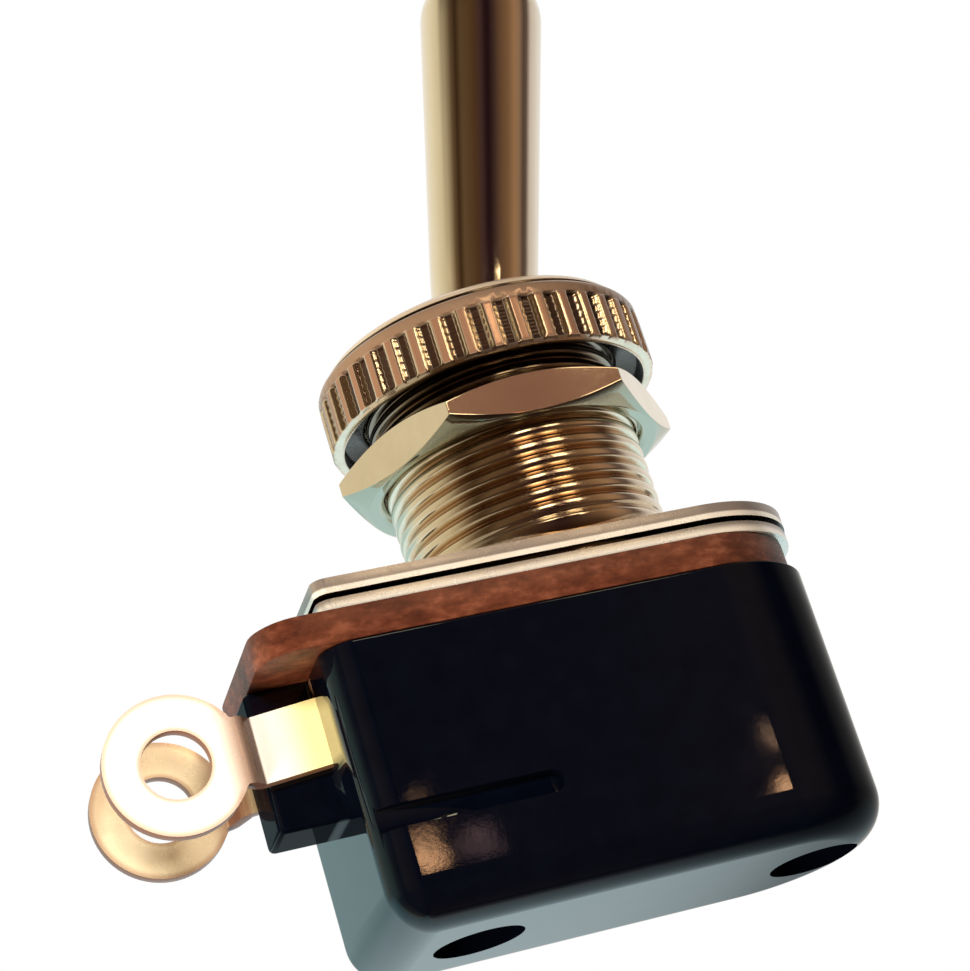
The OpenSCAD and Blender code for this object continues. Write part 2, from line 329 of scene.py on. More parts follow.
def metal(name, dark, light, r0, r1, scale=700, bump=2e-6, stretch=None, fine=5200, metallic=1.0, look=None):
    """look(k, colour) may return a changed colour socket"""
    k = Mat(name)
    k.b.inputs["Metallic"].default_value = metallic
    big = k.noise(scale, 4, 0.6, stretch)
    small = k.noise(fine, 3, 0.6, stretch)
    c = k.ramp(big, "Fac", [(0.32, dark), (0.68, light)]).outputs["Color"]
    if look:
        c = look(k, c)
    k.t.links.new(c, k.b.inputs["Base Color"])
    r = k.spread(small, "Fac", r0, r1)
    k.link(r, "Result", k.b, "Roughness")
    n = k.bump(small, "Fac", bump)
    n2 = k.bump(big, "Fac", bump * 4, 1.0, n)
    k.link(n2, "Normal", k.b, "Normal")
    return k.m


def thread_shade_look(k, c):
    """painted shade: brown in the thread's roots, bright on its crests, and the thread darkened above the hex nut,
    between the nuts and inside the knurled nut
    """
    x, y, z = k.xyz()
    r = k.math("SQRT", k.math("ADD", k.math("MULTIPLY", x, x), k.math("MULTIPLY", y, y)))
    # painted shade in the thread's roots
    root = k.step(r, 5.70e-3, 5.90e-3, 1.0, 0.0)
    out = k.math("MULTIPLY", k.math("MULTIPLY", root, k.step(r, 5.45e-3, 5.55e-3)), 0.85)
    c = k.mix(out, c, (0.46, 0.27, 0.135))
    # painted shade: the thread above the hex nut, between and inside the nuts, darkened
    shade_ = k.math("MULTIPLY", k.step(z, 7.20e-3, 7.45e-3), k.step(r, 5.3e-3, 5.5e-3))
    return k.mix(k.math("MULTIPLY", shade_, 0.72), c, (0.07, 0.045, 0.035))


def knurl_shade_look(k, c):
    """painted shade and reflection: brown teeth and dark valleys in the knurled band, brown belt, dark line and
    browner cap above, dark recess underneath; less metallic on teeth, valleys, belt and cap
    """
    x, y, z = k.xyz()
    r = k.math("SQRT", k.math("ADD", k.math("MULTIPLY", x, x), k.math("MULTIPLY", y, y)))
    ph = k.math("FRACT", k.math("MULTIPLY_ADD", k.math("ARCTAN2", y, x), 40 / (2 * PI), 39.44))
    side = k.step(r, 7.30e-3, 7.36e-3)
    band = k.math("MULTIPLY", k.math("MULTIPLY", k.step(z, 8.42e-3, 8.48e-3), k.step(z, 10.62e-3, 10.70e-3, 1.0, 0.0)), side)
    top = k.step(k.math("ABSOLUTE", k.math("SUBTRACT", ph, 0.20)), 0.11, 0.17, 1.0, 0.0)
    low = k.step(k.math("ABSOLUTE", k.math("SUBTRACT", ph, 0.70)), 0.13, 0.18, 1.0, 0.0)
    top, low = k.math("MULTIPLY", band, top), k.math("MULTIPLY", band, low)
    # painted reflection and shade: brown teeth tops, near-black valleys
    c = k.mix(top, c, (0.26, 0.145, 0.092))
    c = k.mix(low, c, (0.035, 0.018, 0.011))
    # painted shade and reflection: brown belt, dark line under the cap, browner cap
    belt = k.math("MULTIPLY", k.step(z, 10.62e-3, 10.70e-3), k.step(z, 11.36e-3, 11.40e-3, 1.0, 0.0))
    c = k.mix(k.math("MULTIPLY", belt, 0.92), c, (0.20, 0.115, 0.070))
    line = k.math("MULTIPLY", k.step(z, 11.38e-3, 11.42e-3), k.step(z, 11.50e-3, 11.54e-3, 1.0, 0.0))
    c = k.mix(k.math("MULTIPLY", line, 0.85), c, (0.06, 0.04, 0.03))
    cap = k.step(z, 11.52e-3, 11.60e-3)
    c = k.mix(k.math("MULTIPLY", cap, 0.9), c, (0.56, 0.45, 0.33))
    soft = k.math("MAXIMUM", k.math("MAXIMUM", top, low), k.math("MAXIMUM", belt, cap))
    k.t.links.new(k.step(soft, 0.0, 1.0, 1.0, 0.45), k.b.inputs["Metallic"])
    # painted shade in the recess underneath
    under = k.math("MULTIPLY", k.step(z, 9.30e-3, 9.40e-3, 1.0, 0.0), k.step(r, 7.24e-3, 7.30e-3, 1.0, 0.0))
    return k.mix(under, c, (0.045, 0.035, 0.03))


def edge_look(k, c):
    """ring lug: painted shade as brown on the sheared edge faces, the ring's rims and the neck, with the gloss on the
    edges turned down; straw-coloured end at the case
    """
    x, y, z = k.xyz()
    dx, dz = k.math("ADD", x, 19.27e-3), k.math("ADD", z, 5.96e-3)
    r = k.math("SQRT", k.math("ADD", k.math("MULTIPLY", dx, dx), k.math("MULTIPLY", dz, dz)))
    straw = k.step(x, -14.9e-3, -13.0e-3)
    c = k.mix(k.math("MULTIPLY", straw, 0.75), c, (0.93, 0.78, 0.24))
    # painted shade along the ring's outer rim and the hole's rim
    ring = k.step(x, -17.0e-3, -16.6e-3, 1.0, 0.0)
    rim = k.math("MULTIPLY", k.step(r, 2.78e-3, 3.04e-3), ring)
    rim = k.math("MAXIMUM", rim, k.step(r, 1.55e-3, 1.72e-3, 1.0, 0.0))
    c = k.mix(k.math("MULTIPLY", rim, 0.62), c, (0.50, 0.30, 0.20))
    # painted shade on the neck at the jog
    neck = k.math("MULTIPLY", k.step(x, -17.6e-3, -16.3e-3), k.step(x, -15.75e-3, -15.45e-3, 1.0, 0.0))
    c = k.mix(k.math("MULTIPLY", neck, 0.85), c, (0.30, 0.15, 0.09))
    # painted shade on the edge faces, with their gloss turned down
    nx, ny, nz = k.xyz("Normal")
    e = k.step(k.math("ABSOLUTE", ny), 0.45, 0.95, 1.0, 0.0)
    k.t.links.new(k.step(e, 0.0, 1.0, 0.5, 0.03), k.b.inputs["Specular IOR Level"])
    return k.mix(k.math("MULTIPLY", e, 0.94), c, (0.15, 0.07, 0.05))


def underside_shade_look(k, c):
    """painted shade: undersides darker and greyer"""
    x, y, z = k.xyz("Normal")
    return k.mix(k.step(z, -0.75, -0.35, 1.0, 0.0), c, (0.40, 0.42, 0.34))


def plate_look(k, c):
    """sheared edges of the two plates: the upper part of each edge darker, a bright band left along its lower part;
    painted shade, black, on the faces in the gap between the plates
    """
    nx, ny, nz = k.xyz("Normal")
    x, y, z = k.xyz()
    side = k.step(k.math("ABSOLUTE", nz), 0.55, 0.85, 1.0, 0.0)
    a = k.step(z, -0.50e-3, -0.40e-3)
    b = k.math("MULTIPLY", k.step(z, -1.36e-3, -1.02e-3), k.step(z, -0.84e-3, -0.80e-3, 1.0, 0.0))
    c = k.mix(k.math("MULTIPLY", k.math("MULTIPLY", side, a), 0.9), c, (0.19, 0.155, 0.14))
    c = k.mix(k.math("MULTIPLY", k.math("MULTIPLY", side, b), 0.9), c, (0.20, 0.165, 0.145))
    flat = k.math("SUBTRACT", 1.0, side)
    # painted shade in the gap between the plates
    gap = k.math("MULTIPLY", k.step(z, -0.98e-3, -0.955e-3), k.step(z, -0.695e-3, -0.67e-3, 1.0, 0.0))
    return k.mix(k.math("MULTIPLY", flat, gap), c, (0.012, 0.008, 0.006))


M_NICKEL = metal("nickel_bright", (0.78, 0.68, 0.54), (0.86, 0.76, 0.62), 0.05, 0.09, 500, 0.8e-6, look=underside_shade_look)
M_THREAD = metal("nickel_thread", (0.76, 0.66, 0.52), (0.86, 0.76, 0.62), 0.12, 0.20, 500, 0.8e-6, look=thread_shade_look)
M_LEVER = metal("nickel_lever", (0.78, 0.69, 0.56), (0.84, 0.75, 0.62), 0.05, 0.10, 300, 0.3e-6, (1, 1, 0.18))
M_KNURL = metal("nickel_knurl", (0.74, 0.62, 0.50), (0.84, 0.74, 0.60), 0.16, 0.26, 900, 1.5e-6, look=knurl_shade_look)
M_PLATE = metal("nickel_plate", (0.93, 0.89, 0.80), (0.99, 0.96, 0.89), 0.22, 0.30, 450, 0.2e-6, fine=1500, metallic=0.55, look=plate_look)
M_TIN = metal("tinned_lug", (0.97, 0.93, 0.84), (1.0, 0.98, 0.92), 0.24, 0.30, 120, 0.15e-6, fine=1500, metallic=0.20, look=edge_look)
# painted shade: a darker, warmer copy of the tin for the rear lug, which lies in the front lug's shadow
M_TIN_REAR_SHADED = metal("tinned_lug_rear_shaded", (0.80, 0.60, 0.40), (0.96, 0.84, 0.60), 0.22, 0.30, 260, 0.15e-6, fine=1500, metallic=0.55, look=edge_look)
M_STEEL = metal("steel_pin", (0.50, 0.50, 0.50), (0.62, 0.62, 0.60), 0.25, 0.4)
M_WIRE = metal("spring_wire", (0.42, 0.42, 0.43), (0.55, 0.55, 0.56), 0.25, 0.4)
M_BRASS = metal("roller_brass", (0.60, 0.42, 0.18), (0.75, 0.56, 0.28), 0.2, 0.34)
M_SILVER = metal("contact_silver", (0.80, 0.79, 0.77), (0.92, 0.91, 0.90), 0.15, 0.3)
M_RIVET = metal("rivet_dull", (0.12, 0.09, 0.06), (0.20, 0.16, 0.11), 0.35, 0.55)


def phenolic():
    k = Mat("phenolic_black")
    big = k.noise(160, 3, 0.5)
    fine = k.noise(3800, 4, 0.65)
    mid = k.noise(900, 3, 0.5)
    c = k.ramp(mid, "Fac", [(0.3, (0.0006, 0.0012, 0.0035)), (0.7, (0.0010, 0.0018, 0.0048))])
    k.link(c, "Color", k.b, "Base Color")
    r = k.spread(mid, "Fac", 0.028, 0.055)
    k.link(r, "Result", k.b, "Roughness")
    k.b.inputs["IOR"].default_value = 1.58
    x, y, z = k.xyz()
    nx, ny, nz = k.xyz("Normal")
    left = k.step(nx, -0.85, -0.45, 1.0, 0.0)
    below = k.step(nz, -0.75, -0.35, 1.0, 0.0)
    # painted reflection colour: a cool tint on all reflections, a stronger teal on left faces
    k.t.links.new(k.mix(left, (0.80, 0.95, 1.0), (0.40, 0.85, 1.0)), k.b.inputs["Specular Tint"])
    # painted shade: reflection turned down towards the right end, on the bottom towards the right, almost to nothing
    # on the barrier's bottom and left faces, and by a quarter on left faces
    side = k.step(x, 5.2e-3, 8.0e-3, 0.5, 0.012)
    floor = k.step(x, -12e-3, 8.0e-3, 0.38, 0.012)
    level = k.math("ADD", k.math("MULTIPLY", side, k.math("SUBTRACT", 1.0, below)), k.math("MULTIPLY", floor, below))
    bar = k.step(x, -12.9e-3, -12.6e-3, 1.0, 0.0)
    bar = k.math("MULTIPLY", bar, k.math("MAXIMUM", below, left))
    level = k.math("MULTIPLY", level, k.math("SUBTRACT", 1.0, k.math("MULTIPLY", bar, 0.99)))
    k.t.links.new(k.math("MULTIPLY", level, k.math("SUBTRACT", 1.0, k.math("MULTIPLY", left, 0.25))), k.b.inputs["Specular IOR Level"])
    n = k.bump(fine, "Fac", 0.8e-6)
    n2 = k.bump(big, "Fac", 1.2e-5, 1.0, n)
    k.link(n2, "Normal", k.b, "Normal")
    return k.m


def fibre():
    k = Mat("fibre_board")
    grain = k.noise(1300, 5, 0.7, (0.75, 1.0, 1.6))
    blot = k.noise(380, 3, 0.6)
    fine = k.noise(9000, 3, 0.6)
    c = k.ramp(grain, "Fac", [(0.30, (0.046, 0.013, 0.008)), (0.52, (0.096, 0.029, 0.015)), (0.72, (0.185, 0.066, 0.038))])
    c2 = k.ramp(blot, "Fac", [(0.35, (0.66, 0.60, 0.60)), (0.65, (1.0, 1.0, 1.0))])
    col = k.mix(1.0, c.outputs["Color"], c2.outputs["Color"], "MULTIPLY")
    k.t.links.new(col, k.b.inputs["Base Color"])
    r = k.spread(fine, "Fac", 0.38, 0.60)
    k.link(r, "Result", k.b, "Roughness")
    n = k.bump(fine, "Fac", 4e-6)
    n2 = k.bump(grain, "Fac", 1.2e-5, 1.0, n)
    k.link(n2, "Normal", k.b, "Normal")
    return k.m


def plain(name, a, b, r0, r1, scale=900):
    k = Mat(name)
    s = k.noise(scale, 4, 0.6)
    c = k.ramp(s, "Fac", [(0.3, a), (0.7, b)])
    k.link(c, "Color", k.b, "Base Color")
    r = k.spread(s, "Fac", r0, r1)
    k.link(r, "Result", k.b, "Roughness")
    n = k.bump(s, "Fac", 4e-6)
    k.link(n, "Normal", k.b, "Normal")
    return k.m


M_CASE, M_FIBRE = phenolic(), fibre()
M_PLUNGER = plain("plunger_brown", (0.05, 0.025, 0.012), (0.09, 0.045, 0.022), 0.4, 0.6)


def dress(o, mat, node, body):
    o.data.materials.clear()
    o.data.materials.append(mat)
    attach(o, body)
    if node:
        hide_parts(node)
    return o


# ------------------------------------------------------------------ case
def make_case():
    rb, rv, rt = 2.0, 1.4, 0.12
    rings = []
    for i in range(5):                                    # eased top edge
        a = PI / 2 * i / 4
        rings.append((rt * (1 - math.sin(a)), ZC - rt * (1 - math.cos(a))))
    for z in (-5.0, -7.5, -10.0, -12.0):
        rings.append((0.0, z))
    for i in range(15):
        a = PI / 2 * i / 14
        rings.append((rb * (1 - math.cos(a)), ZF + rb - rb * math.sin(a)))
    v, f = [], []
    n = None
    for d, z in rings:
        p = slab(CX0 + d, CX1 - d, CHW - d, max(rv - d * 0.62, 0.25), 56, 14)
        n = len(p)
        v += [(x, y, z) for x, y in p]
    for i in range(len(rings) - 1):
        for j in range(n):
            k = (j + 1) % n
            f.append((i * n + j, i * n + k, (i + 1) * n + k, (i + 1) * n + j))
    f.append(tuple(range(n)))
    f.append(tuple(range((len(rings) - 1) * n, len(rings) * n)))
    o = tidy(make("moulded_case", v, f))
    # barrier between the lugs
    bar = block("bar", CX0 - 2.86, CX0 + 0.6, -1.65, 1.65, ZC - 6.4, ZC)
    bevel(bar, 0.28, 4, 50)
    cut(o, bar, op="UNION")
    # well with the roller's arc for a floor
    well = [(-6.3, ZC + 1), (-6.3, PIV - math.sqrt(18.4 ** 2 - 6.3 ** 2))]
    for i in range(1, 24):
        x = -6.3 + 12.6 * i / 24
        well.append((x, PIV - math.sqrt(18.4 ** 2 - x * x)))
    well += [(6.3, PIV - math.sqrt(18.4 ** 2 - 6.3 ** 2)), (6.3, ZC + 1)]
    cuts = [prism("c", well, "y", -4.2, 4.2)]
    for s in (-1, 1):
        y0, y1 = (1.65, 2.35) if s > 0 else (-2.35, -1.65)
        cuts.append(block("c", CX0 - 1, -9.2, y0, y1, ZC - 4.2, ZC + 0.5))
        y0, y1 = (1.65, 4.2) if s > 0 else (-4.2, -1.65)
        cuts.append(block("c", -9.3, -6.2, y0, y1, ZC - 4.6, ZC + 0.5))
        y0, y1 = (1.61, 4.16) if s > 0 else (-4.16, -1.61)
        cuts.append(block("c", -4.35, 1.55, y0, y1, -ROLL_S - ROLL_R - 1.15, -ROLL_S - ROLL_R + 0.05, True))
        cuts.append(cyl("c", 1.05, s * 7.95, 0, ZF - 1, ZC + 1, 40))
    cut(o, *cuts)
    holes = [cyl("c", 2.05, s * 7.95, 0, ZF - 1, ZF + 5.0, 72) for s in (-1, 1)]
    # groove in the front face, open at the left end
    g = [(-15.5, ZC - 8.35), (-4.6, ZC - 8.35)] + arc(-4.6, ZC - 7.85, 0.5, -80, 80, 14) + [(-4.6, ZC - 7.35), (-15.5, ZC - 7.35)]
    holes.append(prism("c", g, "y", -CHW - 1, -CHW + 0.5))
    cut(o, *holes)
    bevel(o, 0.09, 3, 55, 50)
    bm = bmesh.new()
    bm.from_mesh(o.data)
    bmesh.ops.dissolve_degenerate(bm, dist=5e-6, edges=bm.edges)
    bm.to_mesh(o.data)
    bm.free()
    shade(o, True, 50)
    return weigh(o)


# ------------------------------------------------------------------ board and plates
def make_board():
    o = prism("fibre_sheet", slab(-15.2, 11.0, CHW, 2.0), "z", ZC, ZB0)
    s = arc(3.1, 0, 2, -90, 90, 20) + arc(-3.1, 0, 2, 90, 270, 20)
    cut(o, prism("c", s, "z", ZC - 1, ZB0 + 1), cyl("c", 1.05, -7.95, 0, ZC - 1, ZB0 + 1, 40), cyl("c", 1.05, 7.95, 0, ZC - 1, ZB0 + 1, 40))
    return bevel(o, 0.10, 2, 50)


def make_plate(name, x1, z0, z1, hole, bv, cone):
    o = prism(name, slab(-12.2, x1, 5.75, 0.6, 48, 8), "z", z0, z1)
    c = [cyl("c", hole, 0, 0, z0 - 1, z1 + 1, 96)]
    for s in (-1, 1):
        c.append(cyl("c", 1.05, s * 7.95, 0, z0 - 1, z1 + 1, 40))
    cut(o, *c)
    if cone:
        cut(o, *[cyl("c", 1.05, s * 7.95, 0, z1 - 0.5, z1 + 0.01, 40, 1.56) for s in (-1, 1)])
    return bevel(o, bv, 3, 50)


# ------------------------------------------------------------------ bushing with its thread
def make_bushing():
    pitch, R, depth = 0.75, 6.0, 0.32
    z0, z1 = 0.55, 12.2
    m, n = 12, 160
    prof = [0.03, 0.0, 0.0, 0.0, 0.03, 0.35, 0.82, 1.0, 1.0, 0.82, 0.35, 0.12]      # depth over one pitch

    def tr(z, t):
        ph = ((z - z0) / pitch - t / (2 * PI)) % 1.0 * m
        i = int(ph) % m
        w = ph - int(ph)
        d = prof[i] * (1 - w) + prof[(i + 1) % m] * w
        d *= depth * max(0.0, min(1.0, (z - z0) / 0.7))
        r = R - d
        return min(r, R - max(0.0, z - (z1 - 0.05)), R + 0.4 - 0.9 * max(0.0, 0.9 - z))

    rows = int((z1 - z0) / pitch * m) + 2 * m + 2
    inner = [(5.60, 12.6), (5.45, 12.62), (3.97, 12.6), (3.52, 11.74)]
    inner += [(math.sqrt(3.95 ** 2 - (z - PIV) ** 2), z) for z in (11.5, 11.1, 10.7, 10.3, 9.9)]
    inner += [(3.95, 7.9), (4.75, 7.2), (4.75, ZB1), (5.5, ZB1), (5.5, ZA), (5.2, ZA), (5.2, 0.0), (5.62, 0.0)]
    v, f = [], []
    for j in range(n + 1):
        t = 2 * PI * j / n
        col = []
        for i in range(rows):
            z = z0 - pitch + i * pitch / m + pitch * j / n
            z = min(max(z, z0), z1)
            col.append((tr(z, t), z))
        col += [(5.97, 12.32), (5.84, 12.46)] + inner
        v += [(r * math.cos(t), r * math.sin(t), z) for r, z in col]
        c = len(col)
    for j in range(n):
        for i in range(c):
            k = (i + 1) % c
            f.append((j * c + i, (j + 1) * c + i, (j + 1) * c + k, j * c + k))
    o = tidy(make("threaded_bushing", v, f), 2e-6)
    shade(o, True, 50)
    pin = cyl("c", 0.77, 0, 0, -8, 8, 32)
    pin.data.transform(Matrix.Translation((0, 0, PIV * MM)) @ Matrix.Rotation(PI / 2, 4, "X"))
    cut(o, pin)
    shade(o, True, 50)
    return o


# ------------------------------------------------------------------ nuts
def make_hex():
    z0, z1, af, fl, k, rin = 5.3, 7.3, 7.0, 6.9, math.tan(math.radians(30)), 6.06
    v, f = [], []
    n = 144
    for j in range(n):
        a = 2 * PI * j / n
        b = (a + PI / 6) % (PI / 3) - PI / 6
        b2 = (a) % (PI / 3) - PI / 6
        rh = af / math.cos(b2)
        dz = max(0.0, (rh - fl) * k)
        col = [(rin + 0.35, z0), (fl, z0), (rh, z0 + dz), (rh, z1 - dz), (fl, z1), (rin + 0.35, z1), (rin, z1 - 0.3), (rin, z0 + 0.3)]
        t = a + math.radians(-3.3)
        v += [(r * math.cos(t), r * math.sin(t), z) for r, z in col]
    c = 8
    for j in range(n):
        q = (j + 1) % n
        for i in range(c):
            w = (i + 1) % c
            f.append((j * c + i, q * c + i, q * c + w, j * c + w))
    o = tidy(make("hexagon_nut", v, f))
    bevel(o, 0.07, 2, 22, 25)
    flats = [(math.cos(math.radians(q - 3.3)), math.sin(math.radians(q - 3.3)), 0) for q in range(30, 390, 60)]
    return weigh(o, flats + [(0, 0, -1), (0, 0, 1)])


def make_knurled():
    z, R, N, per = 8.3, 7.8, 40, 12
    prof = [(6.20, z + 0.85), (7.10, z + 0.80), (7.18, z + 0.70), (7.24, z + 0.06), (7.30, z), (R - 0.30, z), (R - 0.24, z + 0.03), (R - 0.06, z + 0.13)]
    kn0 = len(prof)
    hs = [0.16, 0.20, 0.26, 0.33] + [0.33 + 0.0925 * i for i in range(1, 20)] + [2.20, 2.27, 2.33, 2.38]
    prof += [(R, z + h) for h in hs]
    kn1 = len(prof)
    prof += [(R - 0.03, z + 2.42), (R - 0.03, z + 2.78), (R - 0.10, z + 2.92), (R - 0.26, z + 3.04), (R - 0.38, z + 3.10), (R - 0.44, z + 3.16), (R - 0.42, z + 3.21)]
    prof += [(R - 0.46, z + 3.28), (R - 0.56, z + 3.42), (R - 0.71, z + 3.56), (R - 0.90, z + 3.68), (R - 1.10, z + 3.77), (R - 1.30, z + 3.82), (R - 1.48, z + 3.84), (R - 1.58, z + 3.83)]
    prof += [(6.10, z + 3.66), (6.06, z + 3.55), (6.06, z + 1.0)]

    def rf(i, r, zz, t):
        if not kn0 <= i < kn1:
            return r
        h = zz - z
        e = min(1.0, max(0.0, min(h - 0.14, 2.41 - h) / 0.12))
        ph = (t * N / (2 * PI) - 0.56) % 1.0
        # flat tooth, steep flank, valley
        if ph < 0.38:
            d = 0.0
        elif ph < 0.52:
            d = (ph - 0.38) / 0.14
        elif ph < 0.86:
            d = 1.0
        else:
            d = (1.0 - ph) / 0.14
        d = d * d * (3 - 2 * d)
        lines = 0.035 * d * math.sin(2 * PI * h / 0.37)
        return r - 0.05 * (1 - e) - e * (0.28 * d + lines)

    o = lathe("knurled_dress_nut", prof, N * per, True, 60, rf)
    return o


# ------------------------------------------------------------------ lever
def make_lever():
    r0, r1, s1 = 2.59, 3.04, 20.46
    prof = [(1.0, -10.7), (1.1, -10.8), (1.3, -10.8), (1.4, -10.7), (1.4, -3.585)]
    prof += [(3.85 * math.cos(math.radians(a)), 3.85 * math.sin(math.radians(a))) for a in range(-66, 40, 6)]
    prof += [(2.55, 3.05), (2.47, 3.4), (2.47, 3.9), (2.53, 4.9), (r0, 5.83)]
    prof += [(r0 + (r1 - r0) * (s - 5.83) / (s1 - 5.83), s) for s in np.linspace(7, s1, 14)]
    prof += [(r1 * math.cos(math.radians(a)), s1 + r1 * math.sin(math.radians(a))) for a in range(4, 90, 4)]
    prof += [(0.0, s1 + r1)]
    inner = [(0.0, -4.1), (1.0, -4.4)]
    o = lathe("bat_handle", inner + prof, 128, False, 50, None, True)
    pin = cyl("c", 0.8, 0, 0, -8, 8, 32)
    pin.data.transform(Matrix.Translation((0, 0, PIV * MM)) @ Matrix.Rotation(PI / 2, 4, "X"))
    cut(o, pin)
    shade(o, True, 50)
    return o


# ------------------------------------------------------------------ lugs
def lug_path(u, off):
    """flat strip coordinate u (equal to x left of the jog) and offset from the middle plane -> (x, y)"""
    ub, ang, br = -16.62, math.radians(58), 0.42
    la = ang * br
    ym, yt = -3.06, -2.0
    drop = br * (1 - math.cos(ang)) * 2
    ls = (yt - ym - drop) / math.sin(ang)
    if u <= ub:
        return u, ym - off
    if u <= ub + la:
        a = (u - ub) / br
        return ub + br * math.sin(a) + off * math.sin(a), ym + br * (1 - math.cos(a)) - off * math.cos(a)
    x1, y1 = ub + br * math.sin(ang), ym + br * (1 - math.cos(ang))
    if u <= ub + la + ls:
        w = u - ub - la
        return x1 + w * math.cos(ang) + off * math.sin(ang), y1 + w * math.sin(ang) - off * math.cos(ang)
    x2, y2 = x1 + ls * math.cos(ang), y1 + ls * math.sin(ang)
    if u <= ub + 2 * la + ls:
        a = ang - (u - ub - la - ls) / br
        cx, cy = x2 + br * math.sin(ang), y2 - br * math.cos(ang)
        return cx - br * math.sin(a) + off * math.sin(a), cy + br * math.cos(a) - off * math.cos(a)
    x3 = x2 + br * math.sin(ang)
    return x3 + u - (ub + 2 * la + ls), yt - off


def u_of_x(x):
    lo, hi = -16.0, -3.0
    for _ in range(60):
        mid = (lo + hi) / 2
        if lug_path(mid, 0)[0] < x:
            lo = mid
        else:
            hi = mid
    return lo


def make_lug(name, side):
    cx, cz, R, rh = -19.27, -5.96, 3.09, 1.5
    ax = u_of_x
    # outline in (u, z), anticlockwise, starting on the ring's upper right
    top = [(ax(-15.4), -4.26), (ax(-12.5), -4.0), (ax(-12.5), ZC - 0.1), (ax(-11.0), ZC - 0.1), (ax(-11.0), -3.85), (ax(-6.6), -3.6)]
    bot = [(ax(-6.6), -8.05), (ax(-9.1), -7.32), (ax(-9.1), -6.9), (ax(-12.5), -7.03), (ax(-15.4), -7.28)]
    ring = arc(cx, cz, R, 30, 332, 60)
    neck_t = [(-16.5, -4.40)]
    neck_b = [(-16.45, -7.40)]
    outer = ring + neck_b + bot[::-1] + top[::-1] + neck_t
    hole = arc(cx, cz, rh, 0, 360 - 360 / 48, 47)
    bm = bmesh.new()
    for loop in (outer, hole):
        vs = [bm.verts.new((x, 0, z)) for x, z in loop]
        for i in range(len(vs)):
            bm.edges.new((vs[i], vs[(i + 1) % len(vs)]))
    bmesh.ops.triangle_fill(bm, use_beauty=True, use_dissolve=False, edges=bm.edges[:])
    for u in np.arange(-16.8, -13.9, 0.085):
        geom = bm.verts[:] + bm.edges[:] + bm.faces[:]
        bmesh.ops.bisect_plane(bm, geom=geom, plane_co=(u, 0, 0), plane_no=(1, 0, 0), dist=1e-5)
    me = bpy.data.meshes.new(name)
    bm.to_mesh(me)
    bm.free()
    vs = [tuple(v.co) for v in me.vertices]
    fs = [tuple(p.vertices) for p in me.polygons]
    bpy.data.meshes.remove(me)
    # boundary edges
    count = {}
    for q in fs:
        for i in range(len(q)):
            e = (q[i], q[(i + 1) % len(q)])
            count.setdefault(tuple(sorted(e)), []).append(e)
    n = len(vs)
    t = 0.3
    v3 = []
    for off in (t, -t):
        for u, _, z in vs:
            x, y = lug_path(u, off)
            v3.append((x, y * side, z))
    f3 = [tuple(q) for q in fs] + [tuple(reversed([i + n for i in q])) for q in fs]
    for k, es in count.items():
        if len(es) == 1:
            a, b = es[0]
            f3.append((b, a, a + n, b + n))
    o = tidy(make(name, v3, f3))
    y0, y1 = (-4.1, -1.9) if side > 0 else (1.9, 4.1)
    tab = block("tab", -4.2, 1.4, y0, y1, -ROLL_S - ROLL_R - 1.06, -ROLL_S - ROLL_R - 0.46, True)
    cut(o, tab, op="UNION")
    bevel(o, 0.11, 3, 50, 42)
    return o


# coil spring in the lever's tail: closed end turns, four and a half open ones between
def make_spring():
    wr, cr, steps, ring = 0.18, 0.73, 190, 12
    lo, hi = -9.34 + wr, -4.46 - wr
    turns = 6.5
    verts, faces = [], []
    for i in range(steps + 1):
        t = i / steps
        a = t * turns * 2 * PI
        u = min(max((t - 1 / turns) / (1 - 2 / turns), 0.0), 1.0)
        end = (min(t, 1 / turns) + max(0.0, t - 1 + 1 / turns)) * turns * 2 * wr * 0.98
        z = lo + end + u * (hi - lo - 4 * wr * 0.98)
        for j in range(ring):
            b = 2 * PI * j / ring
            rad = cr + wr * math.cos(b)
            verts.append(to_lever((rad * math.cos(a), rad * math.sin(a), z + wr * math.sin(b))))
    for i in range(steps):
        for j in range(ring):
            p, q = i * ring + j, i * ring + (j + 1) % ring
            faces.append((p, q, q + ring, p + ring))
    faces.append(tuple(range(ring - 1, -1, -1)))
    faces.append(tuple(steps * ring + j for j in range(ring)))
    return make("coil_spring", verts, faces)


# ------------------------------------------------------------------ put together
dress(make_case(), M_CASE, "case", "housing")
dress(make_board(), M_FIBRE, "fibre_board", "housing")
dress(make_plate("lower_metal_plate", 11.40, ZB0, ZB1, 4.85, 0.10, False), M_PLATE, "lower_plate", "housing")
dress(make_plate("upper_metal_plate", 11.45, ZA, 0.0, 5.23, 0.16, True), M_PLATE, "upper_plate", "housing")
dress(make_bushing(), M_THREAD, "bushing", "housing")
dress(make_hex(), M_NICKEL, "hex_nut", "backing_nut")
dress(make_knurled(), M_KNURL, "knurled_nut", "dress_nut")
dress(make_lever(), M_LEVER, "bat_lever", "lever")
dress(make_lug("front_ring_lug", 1), M_TIN, "front_terminal", "housing")
dress(make_lug("rear_ring_lug", -1), M_TIN_REAR_SHADED, "rear_terminal", "housing")
coil = dress(make_spring(), M_WIRE, "lever_spring", "lever")
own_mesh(coil)
for node, mat in (("pivot_pin", M_STEEL), ("plunger", M_PLUNGER), ("contact_roller", M_BRASS),
                  ("front_contact", M_SILVER), ("rear_contact", M_SILVER), ("left_rivet", M_RIVET), ("right_rivet", M_RIVET)):
    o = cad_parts[node]
    o.data.materials.clear()
    o.data.materials.append(mat)

